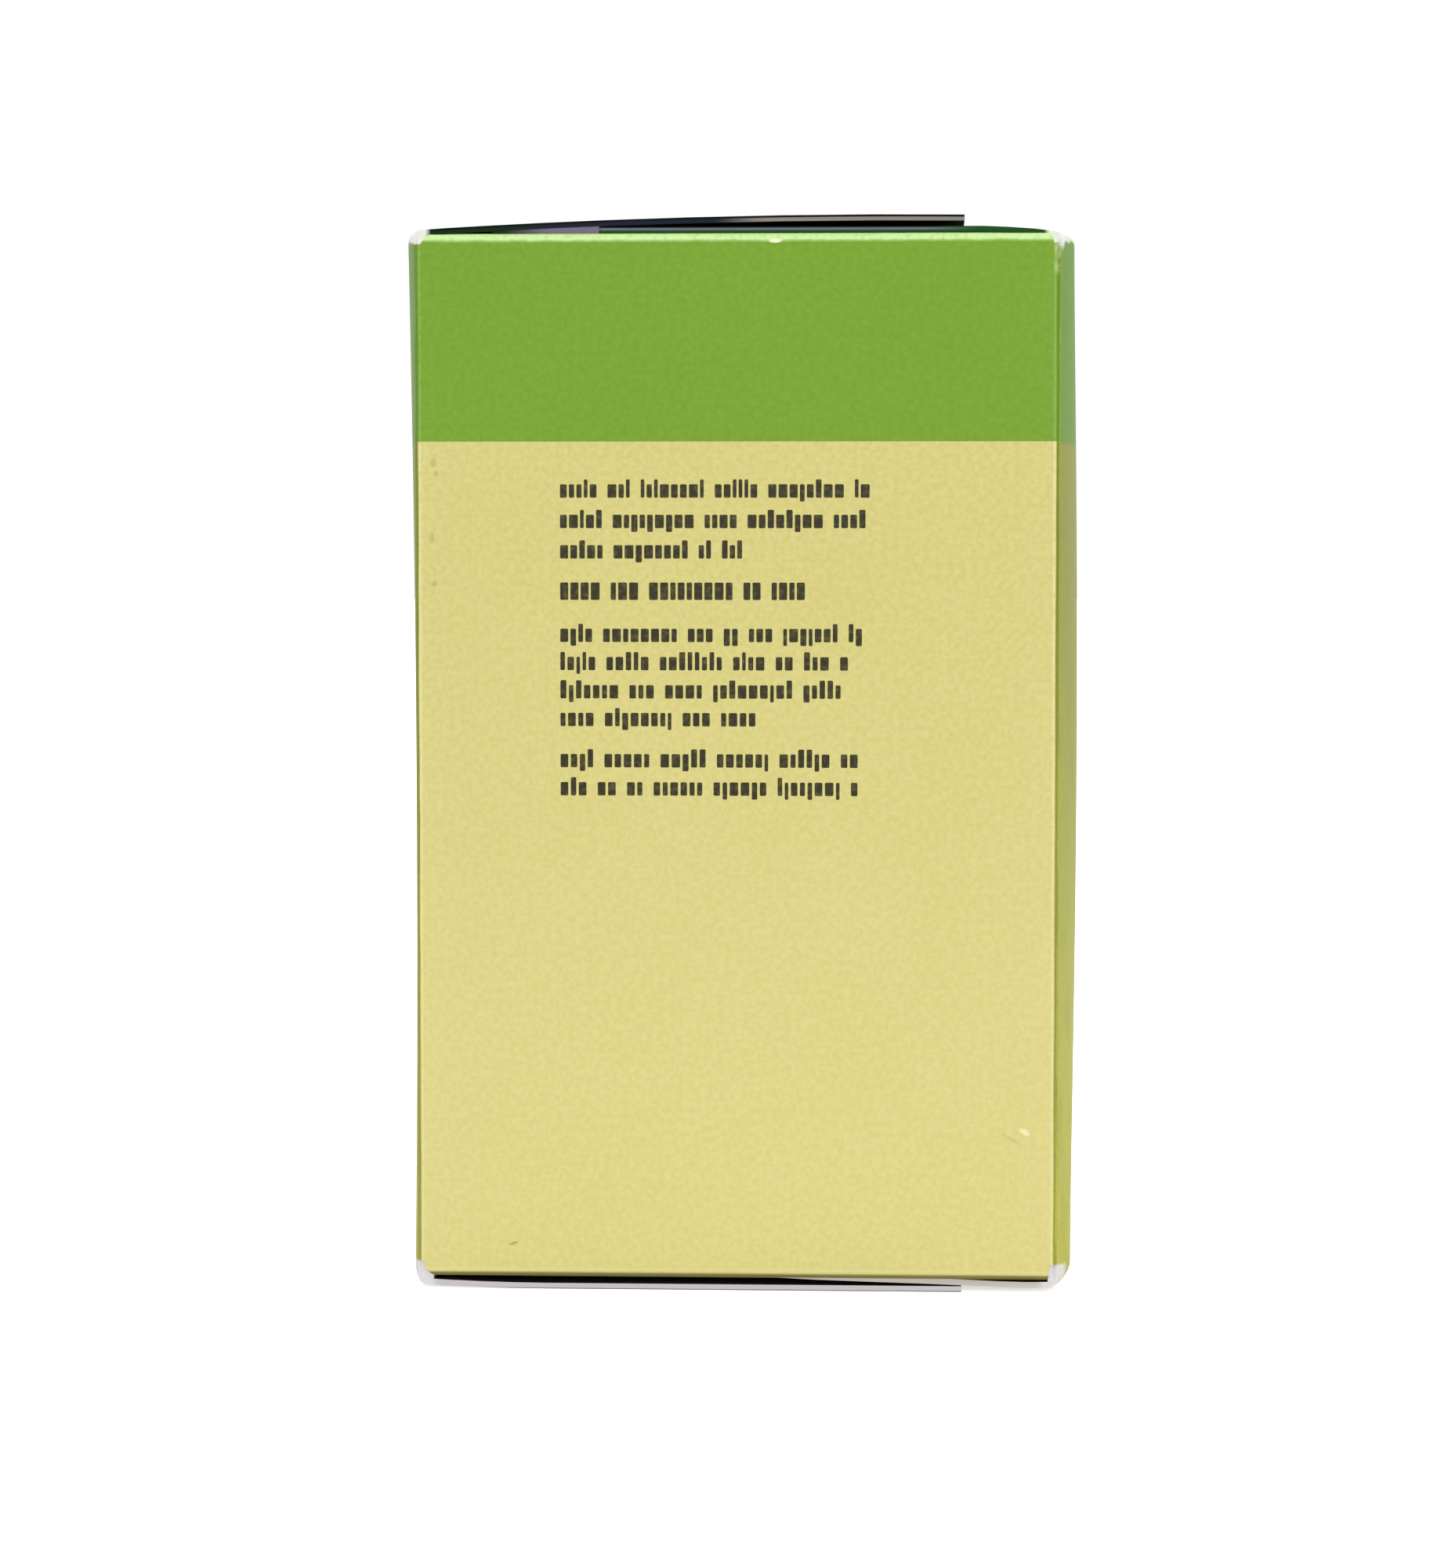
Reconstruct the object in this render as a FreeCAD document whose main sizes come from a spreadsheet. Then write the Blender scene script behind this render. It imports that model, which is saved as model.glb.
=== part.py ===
import os

import FreeCAD, Part
import Sketcher

# An upright folding carton of drink mix stick packs, its ends glued shut.
# X runs across the narrow front panel, Y from front to rear along the wide side
# panels, Z up. The origin is on the table, under the middle of the carton.
# The shut carton is folded from one blank, so it is one solid. Its wide panels bow
# out over the sticks inside, and the cut ends of its flaps spring a little apart.

SIZES = {
    # the walls, between the folds
    "front_width": 76.2,
    "side_depth": 101.6,
    "wall_height": 124.0,
    "board": 0.7,
    "crease_round": 0.7,
    "dust_fold_round": 1.2,
    # the bow of a wide panel: a shoulder at each crease and a long flat arc between
    "belly_drop": 30.0,
    "shoulder_depth": 14.0,
    "shoulder_base": 2.0,
    "shoulder_belly": 2.4,
    "shoulder_top": 1.9,
    "bow_base": 2.8,
    "bow_belly": 3.5,
    "bow_top": 2.7,
    # the closing flaps: the outer ones fold from the left, the inner from the right
    "outer_end_gap": 11.2,
    "inner_end_gap": 22.0,
    "flap_bend": 1.7,
    "flap_setback": 0.8,
    "open_end": 12.0,
    # how the bottom flaps lie
    "base_flap_gap": 0.2,
    "base_dust_gap": 0.5,
    "base_inner_tuck": 40.0,
    "base_hinge_lift": 0.45,
    "base_hinge_reach": 15.0,
    # how the top flaps lie
    "top_inner_lift": 0.62,
    "top_inner_reach": 9.0,
    "top_touch_gap": 0.08,
    "top_free_gap": 0.65,
    "top_hinge_lift": 0.35,
    "top_wedge_start": 6.5,
    # the seam, where the last panel of the blank is glued over its tab
    "seam_gap": 0.25,
    "seam_depth": 0.35,
}

# levels and places that follow from the sizes
PLACES = {
    "half_width": "=front_width / 2",
    "half_depth": "=side_depth / 2",
    "past_side": "=half_width + 2 * bow_belly",
    "past_front": "=half_depth + 2 * board",
    "past_base": "=-2 * board",
    "table": "=0",
    # ends of the flaps, and the hinges' inner sides
    "outer_end": "=half_width - outer_end_gap",
    "inner_end": "=inner_end_gap - half_width",
    "hinge_inside": "=half_width - flap_bend",
    # bottom closure, upwards from the table
    "base_outer_top": "=board",
    "base_hinge_top": "=board + base_hinge_lift",
    "base_reach_at": "=base_hinge_reach - half_width",
    "base_bend_at": "=base_hinge_reach / 2 - half_width",
    "base_bend_level": "=base_hinge_lift / 4",
    "base_bend_top": "=board + base_bend_level",
    "base_inner_under": "=board + base_flap_gap",
    "base_inner_top": "=base_inner_under + board",
    "base_fold": "=base_inner_top + base_dust_gap",
    "base_step": "=base_inner_under + (board + base_dust_gap) * (outer_end_gap / base_inner_tuck) ^ 2",
    "base_tuck_at": "=half_width - base_inner_tuck",
    "base_curve_at": "=(outer_end + base_tuck_at) / 2",
    "base_curve": "=base_inner_under + (board + base_dust_gap)"
                  " * ((half_width - base_curve_at) / base_inner_tuck) ^ 2",
    "base_wedge_at": "=half_width - base_inner_tuck * sqrt(base_dust_gap / (board + base_dust_gap))",
    # top closure, upwards from the fold of the front panel
    "top_fold": "=base_fold + wall_height",
    "top_hinge": "=top_fold + top_hinge_lift",
    "top_inner": "=top_fold + top_inner_lift",
    "top_inner_at": "=half_width - top_inner_reach",
    "top_touch": "=top_inner + top_touch_gap",
    "top_touch_over": "=top_touch + board",
    "top_under": "=top_inner + top_free_gap",
    "full_height": "=top_under + board",
    "past_top": "=full_height + 2 * board",
    "far_past_top": "=full_height + 4 * board",
    "top_wedge_at": "=top_wedge_start - half_width",
    "top_curve_at": "=(inner_end + outer_end) / 2",
    "top_curve": "=(top_touch + top_under) / 2 + ((top_touch_over - top_hinge) / inner_end_gap"
                 " - (full_height - top_hinge) / (front_width - outer_end_gap))"
                 " * (outer_end - inner_end) / 4",
    # plans of the walls
    "belly_level": "=top_fold - belly_drop",
    "shoulder_at": "=half_depth - shoulder_depth",
    "base_shoulder": "=half_width + shoulder_base",
    "belly_shoulder": "=half_width + shoulder_belly",
    "top_shoulder": "=half_width + shoulder_top",
    "base_middle": "=half_width + bow_base",
    "belly_middle": "=half_width + bow_belly",
    "top_middle": "=half_width + bow_top",
    # rounded folds of the dust flaps, and the cut ends of the closing flaps
    "fold_inside": "=half_depth - dust_fold_round",
    "fold_bend": "=half_depth - dust_fold_round * (1 - sqrt(0.5))",
    "base_fold_over": "=base_fold + dust_fold_round",
    "base_fold_bend": "=base_fold + dust_fold_round * (1 - sqrt(0.5))",
    "top_fold_under": "=top_fold - dust_fold_round",
    "top_fold_bend": "=top_fold - dust_fold_round * (1 - sqrt(0.5))",
    "flap_cut": "=half_depth - flap_setback",
    # the seam
    "seam_near": "=half_width - board",
    "seam_far": "=half_width - board - seam_gap",
    "seam_floor": "=half_depth - seam_depth",
}

doc = FreeCAD.newDocument("drink_mix_carton")

sheet = doc.addObject("Spreadsheet::Sheet", "sizes")
for row, (alias, content) in enumerate({**SIZES, **PLACES}.items(), start=1):
    sheet.set(f"A{row}", alias)
    sheet.set(f"B{row}", str(content))
    sheet.setAlias(f"B{row}", alias)
doc.recompute()

carton = doc.addObject("PartDesign::Body", "carton")
carton.Label = "carton"


# a first guess for an arc's middle: a little further from the origin than its chord's
OUTSIDE_CHORD = 0.51


def origin_plane(role):
    return next(f for f in carton.Origin.OriginFeatures if f.Role == role)


def new_sketch(name, role, offset=None):
    sketch = carton.newObject("Sketcher::SketchObject", name)
    sketch.AttachmentSupport = (origin_plane(role), [""])
    sketch.MapMode = "FlatFace"
    if offset:
        sketch.setExpression("AttachmentOffset.Base.z", f"sizes.{offset}")
    return sketch


def number(rule):
    """The value now of a name in the sheet, with or without a minus before it."""
    sign = -1 if rule.startswith("-") else 1
    return sign * float(sheet.get(rule.lstrip("-")))


def spot(pair):
    return FreeCAD.Vector(number(pair[0]), number(pair[1]), 0)


def bound(rule):
    return "-sizes." + rule[1:] if rule.startswith("-") else "sizes." + rule


def pin(sketch, geometry, end, pair):
    """Hold one point of a sketch at two named coordinates."""
    for kind, rule in zip(("DistanceX", "DistanceY"), pair):
        constraint = Sketcher.Constraint(kind, -1, 1, geometry, end, number(rule))
        index = sketch.addConstraint(constraint)
        sketch.setExpression(f"Constraints[{index}]", bound(rule))


def draw_loop(sketch, edges):
    """Draw a closed loop of edges, each from its first point to its last. A third point
    between them makes an arc through it, and None an arc that is tangent to the arc beside
    it."""
    drawn = []
    for edge in edges:
        first, last = spot(edge[0]), spot(edge[-1])
        bent = len(edge) == 3
        middle = spot(edge[1]) if bent and edge[1] else (first + last) * OUTSIDE_CHORD
        curve = Part.Arc(first, middle, last) if bent else Part.LineSegment(first, last)
        geometry = sketch.addGeometry(curve)
        # an arc in a sketch runs anticlockwise, so its ends may be the other way round
        swapped = sketch.getPoint(geometry, 1).distanceToPoint(first) > number("seam_gap")
        start, end = (2, 1) if swapped else (1, 2)
        pin(sketch, geometry, start, edge[0])
        drawn.append((geometry, start, end, bent))
        if bent and edge[1]:
            through = sketch.addGeometry(Part.Point(middle), True)
            pin(sketch, through, 1, edge[1])
            sketch.addConstraint(Sketcher.Constraint("PointOnObject", through, 1, geometry))
    for one, other in zip(drawn, drawn[1:] + drawn[:1]):
        join = "Tangent" if one[3] and other[3] else "Coincident"
        sketch.addConstraint(Sketcher.Constraint(join, one[0], one[2], other[0], other[1]))


def path(*points):
    """The straight edges from each point to the next."""
    return list(zip(points, points[1:]))


def volume_now():
    doc.recompute()
    return carton.Shape.Volume


def cut_away(name, sketch, depth=None):
    """Cut a sketch from the body, right through it or to a named depth."""
    before = volume_now()
    feature = carton.newObject("PartDesign::Pocket", name)
    feature.Profile = sketch
    if depth:
        feature.setExpression("Length", bound(depth))
    else:
        feature.Type = "ThroughAll"
        feature.SideType = "Symmetric"
    taken = before - volume_now()
    print(f"{name}: {taken:.1f} mm3 cut away")
    if taken <= 0:
        raise RuntimeError(f"{name} cuts nothing")
    return feature


def round_edges(name, radius, chosen):
    """Round the edges of the body whose middle passes the test."""
    doc.recompute()
    base = carton.Tip
    edges = [
        f"Edge{place}"
        for place, edge in enumerate(base.Shape.Edges, start=1)
        if chosen(edge, edge.valueAt((edge.FirstParameter + edge.LastParameter) / 2))
    ]
    feature = carton.newObject("PartDesign::Fillet", name)
    feature.Base = (base, edges)
    feature.setExpression("Radius", bound(radius))
    doc.recompute()
    print(f"{name}: {len(edges)} edges rounded")
    return feature


# --- the filled sleeve: one plan at three heights, lofted ---

def draw_plan(name, level, shoulder, middle):
    """A plan of the walls: flat narrow panels, and wide panels that bow outwards."""
    front_left = ("-half_width", "-half_depth")
    front_right = ("half_width", "-half_depth")
    rear_right = ("half_width", "half_depth")
    rear_left = ("-half_width", "half_depth")
    near_right = (shoulder, "-shoulder_at")
    far_right = (shoulder, "shoulder_at")
    far_left = ("-" + shoulder, "shoulder_at")
    near_left = ("-" + shoulder, "-shoulder_at")
    sketch = new_sketch(name, "XY_Plane", level)
    draw_loop(sketch, [
        (front_left, front_right),
        (front_right, None, near_right),
        (near_right, (middle, "table"), far_right),
        (far_right, None, rear_right),
        (rear_right, rear_left),
        (rear_left, None, far_left),
        (far_left, ("-" + middle, "table"), near_left),
        (near_left, None, front_left),
    ])
    return sketch


base_plan = draw_plan("BasePlan", "table", "base_shoulder", "base_middle")
belly_plan = draw_plan("BellyPlan", "belly_level", "belly_shoulder", "belly_middle")
top_plan = draw_plan("TopPlan", "past_top", "top_shoulder", "top_middle")
sleeve = carton.newObject("PartDesign::AdditiveLoft", "Sleeve")
sleeve.Profile = base_plan
sleeve.Sections = [belly_plan, top_plan]

# --- the outer faces of the closing flaps, seen from the front ---

top_outline = new_sketch("TopOutline", "XZ_Plane")
draw_loop(top_outline, [
    (("-past_side", "top_hinge"), ("-half_width", "top_hinge")),
    (("-half_width", "top_hinge"), ("inner_end", "top_touch_over"), ("outer_end", "full_height")),
    *path(
        ("outer_end", "full_height"),
        ("outer_end", "top_inner"),
        ("top_inner_at", "top_inner"),
        ("half_width", "top_fold"),
        ("past_side", "top_fold"),
        ("past_side", "far_past_top"),
        ("-past_side", "far_past_top"),
        ("-past_side", "top_hinge"),
    ),
])
cut_away("TopFlapFaces", top_outline)

base_outline = new_sketch("BaseOutline", "XZ_Plane")
draw_loop(base_outline, [
    (("-past_side", "base_hinge_lift"), ("-half_width", "base_hinge_lift")),
    (("-half_width", "base_hinge_lift"), ("base_bend_at", "base_bend_level"),
     ("base_reach_at", "table")),
    *path(
        ("base_reach_at", "table"),
        ("outer_end", "table"),
        ("outer_end", "base_step"),
        ("half_width", "base_inner_under"),
        ("past_side", "base_inner_under"),
        ("past_side", "past_base"),
        ("-past_side", "past_base"),
        ("-past_side", "base_hinge_lift"),
    ),
])
cut_away("BaseFlapFaces", base_outline)

# --- the folds: flap hinges along the wide panels, then the upright creases ---

def on_hinge(edge, middle):
    """An edge that runs from front to rear at the outside of a wide panel."""
    box = edge.BoundBox
    outside = abs(middle.x) > number("half_width") + number("board")
    return outside and box.ZLength < number("bow_base")


def on_crease(edge, middle):
    """A tall edge at a corner, other than the one where the seam is."""
    at_seam = middle.x < 0 < middle.y
    at_corner = abs(abs(middle.y) - number("half_depth")) < number("seam_gap")
    tall = edge.BoundBox.ZLength > number("wall_height") / 2
    return tall and at_corner and not at_seam


round_edges("FlapHinges", "flap_bend", on_hinge)
round_edges("Creases", "crease_round", on_crease)

# --- the narrow panels' folds and the cut ends of the flaps, seen from the side
end_outline = new_sketch("EndOutline", "YZ_Plane")
for side in ("-", ""):
    for fold, bend, over, beyond in (
        ("base_fold", "base_fold_bend", "base_fold_over", "past_base"),
        ("top_fold", "top_fold_bend", "top_fold_under", "far_past_top"),
    ):
        panel = (side + "half_depth", over)
        inside = (side + "fold_inside", fold)
        draw_loop(end_outline, [
            (panel, (side + "fold_bend", bend), inside),
            *path(
                inside,
                (side + "flap_cut", fold),
                (side + "flap_cut", beyond),
                (side + "past_front", beyond),
                (side + "past_front", over),
                panel,
            ),
        ])
cut_away("PanelEnds", end_outline)

# --- the gaps between the flaps, open at the front as far as the glue ---

top_gap = new_sketch("TopGap", "XZ_Plane", "half_depth")
draw_loop(top_gap, [
    (("top_wedge_at", "top_fold"), ("inner_end", "top_touch")),
    (("inner_end", "top_touch"), ("top_curve_at", "top_curve"), ("outer_end", "top_under")),
    *path(
        ("outer_end", "top_under"),
        ("outer_end", "top_inner"),
        ("inner_end", "top_inner"),
        ("inner_end", "top_fold"),
        ("top_wedge_at", "top_fold"),
    ),
])
top_flap_gap = cut_away("TopFlapGap", top_gap, "open_end")

base_gap = new_sketch("BaseGap", "XZ_Plane", "half_depth")
draw_loop(base_gap, [
    (("-hinge_inside", "base_hinge_top"), ("base_bend_at", "base_bend_top"),
     ("base_reach_at", "base_outer_top")),
    *path(
        ("base_reach_at", "base_outer_top"),
        ("outer_end", "base_outer_top"),
        ("outer_end", "base_step"),
    ),
    (("outer_end", "base_step"), ("base_curve_at", "base_curve"), ("base_tuck_at", "base_fold")),
    *path(
        ("base_tuck_at", "base_fold"),
        ("-hinge_inside", "base_fold"),
        ("-hinge_inside", "base_hinge_top"),
    ),
])
base_flap_gap = cut_away("BaseFlapGap", base_gap, "open_end")

fold_gap = new_sketch("FoldGap", "XZ_Plane", "half_depth")
draw_loop(fold_gap, path(
    ("base_wedge_at", "base_fold"),
    ("hinge_inside", "base_inner_top"),
    ("hinge_inside", "base_fold"),
    ("base_wedge_at", "base_fold"),
))
base_fold_gap = cut_away("BaseFoldGap", fold_gap, "open_end")

# --- the rear end of the closure is the same as the front ---

both_ends = carton.newObject("PartDesign::Mirrored", "BothEnds")
both_ends.Originals = [top_flap_gap, base_flap_gap, base_fold_gap]
both_ends.MirrorPlane = (origin_plane("XZ_Plane"), [""])
carton.Tip = both_ends

# --- the seam beside the raw edge at the rear left corner ---

seam_plan = new_sketch("SeamPlan", "XY_Plane")
draw_loop(seam_plan, path(
    ("-seam_near", "seam_floor"),
    ("-seam_far", "seam_floor"),
    ("-seam_far", "past_front"),
    ("-seam_near", "past_front"),
    ("-seam_near", "seam_floor"),
))
cut_away("Seam", seam_plan)

doc.recompute()
for item in doc.Objects:
    if "Invalid" in item.State or "Error" in item.State:
        raise RuntimeError(f"{item.Name} failed: {item.State}")
shape = carton.Shape
if shape.isNull() or not shape.isValid() or len(shape.Solids) != 1:
    raise RuntimeError("the carton isn't one valid solid")
box = shape.optimalBoundingBox()
print(f"carton {box.XLength:.2f} x {box.YLength:.2f} x {box.ZLength:.2f} mm, {shape.Volume:.0f} mm3")

os.makedirs("parts", exist_ok=True)
shape.exportStep(f"parts/{carton.Label}.step")
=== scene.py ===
import bpy
import bmesh
import math
import random
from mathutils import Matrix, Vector


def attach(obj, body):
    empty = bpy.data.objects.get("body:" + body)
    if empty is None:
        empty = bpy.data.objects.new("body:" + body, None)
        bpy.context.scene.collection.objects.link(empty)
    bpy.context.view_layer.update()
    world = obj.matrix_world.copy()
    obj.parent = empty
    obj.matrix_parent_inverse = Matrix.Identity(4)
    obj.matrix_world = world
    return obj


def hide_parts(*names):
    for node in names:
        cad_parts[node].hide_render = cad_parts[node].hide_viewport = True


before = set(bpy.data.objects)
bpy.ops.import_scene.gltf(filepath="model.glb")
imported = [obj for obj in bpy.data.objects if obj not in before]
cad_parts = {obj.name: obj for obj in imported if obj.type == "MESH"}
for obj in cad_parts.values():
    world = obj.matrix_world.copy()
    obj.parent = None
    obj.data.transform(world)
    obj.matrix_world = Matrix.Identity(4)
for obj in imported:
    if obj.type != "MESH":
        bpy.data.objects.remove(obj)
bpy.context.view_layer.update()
mm = 0.001

# small helpers


def linearColour(hexText):
    # sRGB hex as picked on screen, turned to the linear values that nodes take
    parts = [int(hexText[i : i + 2], 16) / 255 for i in (1, 3, 5)]
    return [c / 12.92 if c <= 0.04045 else ((c + 0.055) / 1.055) ** 2.4 for c in parts] + [1]


def metres(values):
    return [c * mm for c in values]


def addNode(tree, kind, links=None, **settings):
    # one node with its settings; links go {input name or number: value or socket}
    node = tree.nodes.new("ShaderNode" + kind)
    for name, value in settings.items():
        setattr(node, name, value)
    for name, value in (links or {}).items():
        if isinstance(value, bpy.types.NodeSocket):
            tree.links.new(value, node.inputs[name])
        else:
            node.inputs[name].default_value = value
    return node


def deselectAll():
    if bpy.context.mode != "OBJECT":
        bpy.ops.object.mode_set(mode="OBJECT")
    bpy.ops.object.select_all(action="DESELECT")


def openPiece(name):
    # the primitive just added, named and in edit mode
    piece = bpy.context.object
    piece.name = piece.data.name = name
    bpy.ops.object.mode_set(mode="EDIT")
    return piece


def closePiece():
    bpy.ops.object.mode_set(mode="OBJECT")
    bpy.ops.object.transform_apply(location=True, rotation=True, scale=True)


def pick(piece, kind, test):
    # selects the verts, edges or faces that pass the test, and nothing else
    mesh = bmesh.from_edit_mesh(piece.data)
    bpy.ops.mesh.select_mode(type={"verts": "VERT", "edges": "EDGE", "faces": "FACE"}[kind])
    bpy.ops.mesh.select_all(action="DESELECT")
    count = 0
    for part in getattr(mesh, kind):
        if test(part):
            part.select_set(True)
            count += 1
    mesh.select_flush_mode()
    bmesh.update_edit_mesh(piece.data)
    return count


def middle(edge):
    return (edge.verts[0].co + edge.verts[1].co) / 2 / mm


def along(edge, axis):
    # whether the edge runs along the axis, to within 8 degrees
    run = edge.verts[1].co - edge.verts[0].co
    return abs(run[axis]) > 0.99 * run.length


def applyModifier(piece, kind, **settings):
    bpy.context.view_layer.objects.active = piece
    modifier = piece.modifiers.new(kind.title(), kind)
    for name, value in settings.items():
        setattr(modifier, name, value)
    bpy.ops.object.modifier_apply(modifier=modifier.name)


def extrudeBy(x, y, z):
    bpy.ops.mesh.extrude_region_move(TRANSFORM_OT_translate={"value": metres((x, y, z))})


def lineUp(x=None, z=None):
    # flattens the selection onto the given planes
    bpy.ops.transform.resize(
        value=(1 if x is None else 0, 1, 1 if z is None else 0),
        center_override=metres((x or 0, 0, z or 0)),
    )


# how far off its place an edge or face may be when it is picked, mm
slack = {"exact": 0.01, "level": 0.02, "line": 0.05, "dented": 0.2, "panel": 0.3}
facing = 0.9  # part of a face's normal along an axis, past which it looks that way

# camera, floor and light

camera = {
    "place": (22.7, -550.8, 93.1),
    "yaw": 2.67,
    "pitch": 3.33,
    "lens": 96.95,
    "sensor": 36,
    "shift": (-0.0044, -0.0169),
    "clip": (0.01, 50),
}
lens = bpy.data.cameras.new("productCamera")
lens.sensor_width = camera["sensor"]
lens.sensor_fit = "AUTO"
lens.lens = camera["lens"]
lens.shift_x, lens.shift_y = camera["shift"]
lens.clip_start, lens.clip_end = camera["clip"]
eye = bpy.data.objects.new("productCamera", lens)
bpy.context.scene.collection.objects.link(eye)
eye.location = Vector(camera["place"]) * mm
eye.rotation_euler = (math.radians(90 - camera["pitch"]), 0, math.radians(camera["yaw"]))
bpy.context.scene.camera = eye
bpy.context.scene.view_settings.view_transform = "Standard"

studio = {  # lengths in metres
    "floorRadius": 4.0,
    "floorSides": 96,
    "floor": "#f4f4f2",
    "floorRoughness": 0.5,
    "white": "#ffffff",
    "sky": 0.74,
    # the floor's own glow is low beside the carton and rises to white further out
    "glow": {"From Min": 0.03, "From Max": 0.22, "To Min": 0.6, "To Max": 1.0},
    # place, aim, width, height and power of each lamp
    "lamps": {
        "frontSoftbox": ((0.25, -1.5, 0.7), (0, 0, 0.06), 1.1, 0.9, 3.9),
        "topSoftbox": ((0.1, -0.35, 1.3), (0, 0, 0.05), 1.2, 1.2, 4),
    },
}
white = linearColour(studio["white"])
deselectAll()
bpy.ops.mesh.primitive_circle_add(
    vertices=studio["floorSides"], radius=studio["floorRadius"], fill_type="NGON"
)
floor = bpy.context.object
floor.name = "studioFloor"
# matt white paper that takes a soft shadow; its glow is for the camera alone
paper = bpy.data.materials.new("whiteBackdropPaper")
paper.use_nodes = True
tree = paper.node_tree
tree.nodes.clear()
rays = addNode(tree, "LightPath").outputs
place = addNode(tree, "TexCoord").outputs["Object"]
away = addNode(tree, "VectorMath", {0: place}, operation="LENGTH").outputs["Value"]
glow = addNode(tree, "MapRange", {"Value": away, **studio["glow"]}).outputs[0]
lit = addNode(tree, "Math", {0: glow, 1: rays["Is Camera Ray"]}, operation="MULTIPLY")
glowing = addNode(tree, "Emission", {"Color": white, "Strength": lit.outputs[0]})
matt = {"Color": linearColour(studio["floor"]), "Roughness": studio["floorRoughness"]}
matt = addNode(tree, "BsdfDiffuse", matt)
both = addNode(tree, "AddShader", {0: matt.outputs[0], 1: glowing.outputs[0]})
addNode(tree, "OutputMaterial", {"Surface": both.outputs[0]})
floor.data.materials.append(paper)

# plain even sky for the object, and a white one for the camera and in reflections
world = bpy.data.worlds.new("studioWorld")
bpy.context.scene.world = world
world.use_nodes = True
tree = world.node_tree
tree.nodes.clear()
rays = addNode(tree, "LightPath").outputs
seen = rays["Is Camera Ray"]
for ray in ("Is Glossy Ray", "Is Transmission Ray"):
    seen = addNode(tree, "Math", {0: seen, 1: rays[ray]}, operation="MAXIMUM").outputs[0]
dome = addNode(tree, "Background", {"Color": white, "Strength": studio["sky"]})
plain = addNode(tree, "Background", {"Color": white, "Strength": 1.0})
mixed = addNode(tree, "MixShader", {0: seen, 1: dome.outputs[0], 2: plain.outputs[0]})
addNode(tree, "OutputWorld", {"Surface": mixed.outputs[0]})

for name, (place, aim, width, height, power) in studio["lamps"].items():
    lamp = bpy.data.lights.new(name, "AREA")
    lamp.shape, lamp.size, lamp.size_y, lamp.energy = "RECTANGLE", width, height, power
    holder = bpy.data.objects.new(name, lamp)
    bpy.context.scene.collection.objects.link(holder)
    holder.location = place
    holder.rotation_euler = (Vector(aim) - Vector(place)).to_track_quat("-Z", "Y").to_euler()
    holder.visible_camera = False
print("camera, floor and light are set")

# board finishes


def fade(tree, value, start, end, low=0.0, high=1.0):
    # soft step from low to high as the value goes from start to end
    settings = {"Value": value, "From Min": start, "From Max": end, "To Min": low, "To Max": high}
    return addNode(tree, "MapRange", settings, interpolation_type="SMOOTHSTEP").outputs[0]


def allOf(tree, *masks):
    # on where every mask is on; a plain number thins the others
    whole = masks[0]
    for mask in masks[1:]:
        whole = addNode(tree, "Math", {0: whole, 1: mask}, operation="MULTIPLY").outputs[0]
    return whole


def blendIn(tree, mask, under, over):
    # lays the colour over where the mask is 1
    mix = addNode(tree, "Mix", {0: mask}, data_type="RGBA")
    for socket, colour in ((mix.inputs[6], under), (mix.inputs[7], over)):
        if isinstance(colour, str):
            socket.default_value = linearColour(colour)
        else:
            tree.links.new(colour, socket)
    return mix.outputs[2]


def near(tree, place, spot, size, tilt=0.0):
    # oval mask about one place on the carton, its half sizes in mm; it is full at its
    # middle and fades out over its outer half
    settings = {
        "Vector": place,
        "Location": metres(spot),
        "Rotation": (0, tilt, 0),
        "Scale": metres(size),
    }
    local = addNode(tree, "Mapping", settings, vector_type="TEXTURE")
    reach = addNode(tree, "VectorMath", {0: local.outputs[0]}, operation="LENGTH")
    return fade(tree, reach.outputs["Value"], 1.0, 0.5)


# ink colours: plain and in the paler grain, at the header and at the base of the field,
# then on a fold, rubbed and with a painted highlight, along a crease, rubbed and with a painted
# highlight, and the painted shade under a fold
inks = {
    "greenCoatedCarton": {
        "top": ("#79a52e", "#81ab3a"),
        "base": ("#79a52e", "#81ab3a"),
        "fold": "#d3f5a6",
        "crease": "#93b957",
        "under": "#4e7320",
    },
    "yellowCoatedCarton": {
        "top": ("#d9cf80", "#e2d98e"),
        "base": ("#e3da8c", "#ebe29a"),
        "fold": "#f3ecb0",
        "crease": "#f1e9a6",
        "under": "#8f8750",
    },
    "oliveCoatedCarton": {
        "top": ("#969c2e", "#a2a63c"),
        "base": ("#cbc84c", "#d5d25c"),
        "fold": "#d9da8a",
        "crease": "#a9ac5c",
        "under": "#5c6a22",
    },
}

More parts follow.
